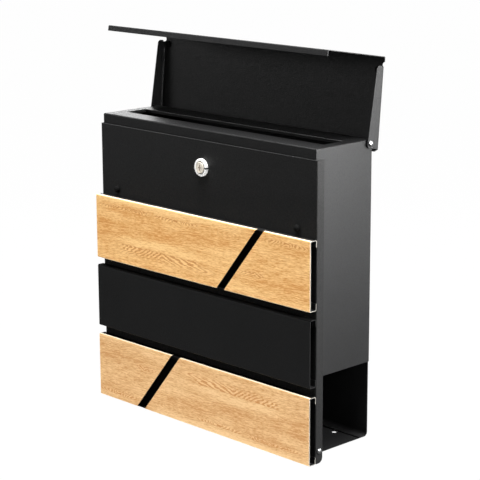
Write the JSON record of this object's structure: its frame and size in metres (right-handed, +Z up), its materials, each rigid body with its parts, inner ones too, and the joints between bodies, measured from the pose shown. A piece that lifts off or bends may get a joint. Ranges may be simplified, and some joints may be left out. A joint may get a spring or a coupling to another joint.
{
  "type": "wall mounted mailbox",
  "caption": "Slim wall mounted steel mailbox with a hinged weather lid over a top letter slot, a locking drop-down front door with raised wood-look strips and an open newspaper compartment.",
  "frame": {"origin": "centre of the back panel's rear face, which lies on the wall", "axes": "+Z up, -Y is the front with the lock and the strips, +Y points into the wall, +X to the right seen from the front"},
  "size_m": [0.3748, 0.1204, 0.4709],
  "materials": {
    "black_coat": "fine-textured matt black powder coat on steel sheet",
    "wood_film": "satin oak-look film",
    "rubber": "matt black rubber",
    "nylon": "black nylon",
    "zinc": "bright zinc-plated steel",
    "chrome": "polished chrome-plated zinc"
  },
  "bodies": {
    "case": {"case_shell": "black_coat", "back_panel": "black_coat", "letter_tray": "black_coat", "lid_hinge_screw_left": "zinc", "lid_hinge_screw_right": "zinc", "lid_hinge_spacer_left": "nylon", "lid_hinge_spacer_right": "nylon", "lid_hinge_nut_left": "zinc", "lid_hinge_nut_right": "zinc", "door_hinge_screw_left": "zinc", "door_hinge_screw_right": "zinc", "door_hinge_spacer_left": "nylon", "door_hinge_spacer_right": "nylon", "door_hinge_nut_left": "zinc", "door_hinge_nut_right": "zinc"},
    "door": {"door_panel": "black_coat", "upper_strip": "black_coat", "middle_strip": "black_coat", "lower_strip": "black_coat", "upper_wood_film_left": "wood_film", "upper_wood_film_right": "wood_film", "lower_wood_film_left": "wood_film", "lower_wood_film_right": "wood_film", "upper_strip_rivet_top_left": "zinc", "upper_strip_rivet_top_right": "zinc", "upper_strip_rivet_bottom_left": "zinc", "upper_strip_rivet_bottom_right": "zinc", "middle_strip_rivet_top_left": "zinc", "middle_strip_rivet_top_right": "zinc", "middle_strip_rivet_bottom_left": "zinc", "middle_strip_rivet_bottom_right": "zinc", "lower_strip_rivet_top_left": "zinc", "lower_strip_rivet_top_right": "zinc", "lower_strip_rivet_bottom_left": "zinc", "lower_strip_rivet_bottom_right": "zinc", "door_bumper_left": "rubber", "door_bumper_right": "rubber", "lock_housing": "chrome", "lock_nut": "zinc"},
    "lock_core": {"lock_plug": "chrome", "lock_cam": "zinc", "cam_screw": "zinc"},
    "lid": {"lid_panel": "black_coat", "lid_bumper_left": "rubber", "lid_bumper_right": "rubber"}
  },
  "joints": [
    {"name": "lid_hinge", "type": "hinge", "parent": "case", "child": "lid", "pos_m": [0, -0.006, 0.178], "axis": [1, 0, 0], "range_deg": [0, 99.5]},
    {"name": "door_hinge", "type": "hinge", "parent": "case", "child": "door", "pos_m": [0, -0.0874, -0.1669], "axis": [1, 0, 0], "range_deg": [0, 80]},
    {"name": "lock_turn", "type": "hinge", "parent": "door", "child": "lock_core", "pos_m": [0, -0.0928, 0.1378], "axis": [0, 1, 0], "range_deg": [0, 90]}
  ]
}
